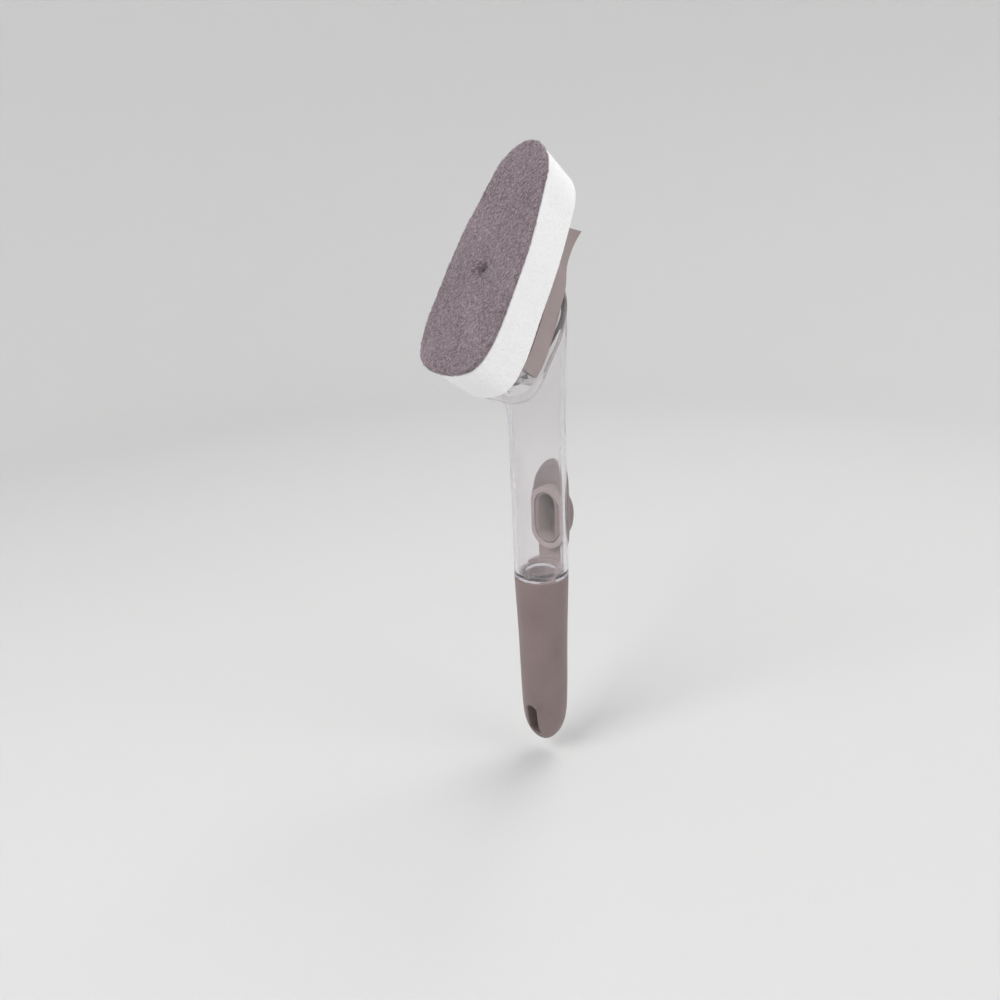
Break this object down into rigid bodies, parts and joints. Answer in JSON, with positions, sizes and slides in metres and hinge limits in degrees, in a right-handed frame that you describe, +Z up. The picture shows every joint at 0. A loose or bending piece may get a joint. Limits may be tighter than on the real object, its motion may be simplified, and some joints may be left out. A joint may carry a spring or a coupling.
{
  "type": "dish wand",
  "caption": "Dish wand with a clear soap-filled handle, push-button dispenser, screw-off grip with hanging slot, and a tilted slide-off sponge head with scouring pad.",
  "frame": {"origin": "on the handle axis where the clear tube meets the grip, where a hand holds it", "axes": "+Z up the handle to the head, -Y the side that the pad faces, X across, with the pad's middle plane at X = 0"},
  "size_m": [0.0386, 0.0766, 0.2761],
  "materials": {
    "clear_plastic": "clear gloss",
    "taupe_plastic": "fine matte",
    "taupe_rubber": "soft matte",
    "seal_rubber": "soft matte",
    "foam": "open-cell foam",
    "scourer": "non-woven fibre"
  },
  "bodies": {
    "wand": {"reservoir_body": "clear_plastic", "head_shoe": "clear_plastic", "outlet_valve": "seal_rubber", "valve_ring": "clear_plastic", "button_carrier": "taupe_plastic", "button_skirt": "taupe_rubber"},
    "seal": {"cap_seal": "seal_rubber"},
    "grip": {"cap_core": "taupe_plastic", "grip_shell": "taupe_rubber"},
    "button": {"dispenser_button": "taupe_rubber"},
    "head": {"head_base": "taupe_plastic", "foam_pad": "foam", "scourer_pad": "scourer"}
  },
  "joints": [
    {"name": "seal_back_off", "type": "slide", "parent": "wand", "child": "seal", "axis": [0, 0, -1], "range_m": [0, 0.0071]},
    {"name": "grip_unscrew", "type": "hinge", "parent": "seal", "child": "grip", "pos_m": [0, 0, 0], "axis": [0, 0, -1], "range_deg": [0, 720]},
    {"name": "button_press", "type": "slide", "parent": "wand", "child": "button", "axis": [0, -1, 0], "range_m": [0, 0.0035], "stiffness_N_per_m": 1500},
    {"name": "head_slide_off", "type": "slide", "parent": "wand", "child": "head", "axis": [0, 0.5592, 0.829], "range_m": [0, 0.046]}
  ],
  "couplings": [
    {"joint": "seal_back_off", "follows": "grip_unscrew", "m_per_rad": 0.00055704}
  ]
}
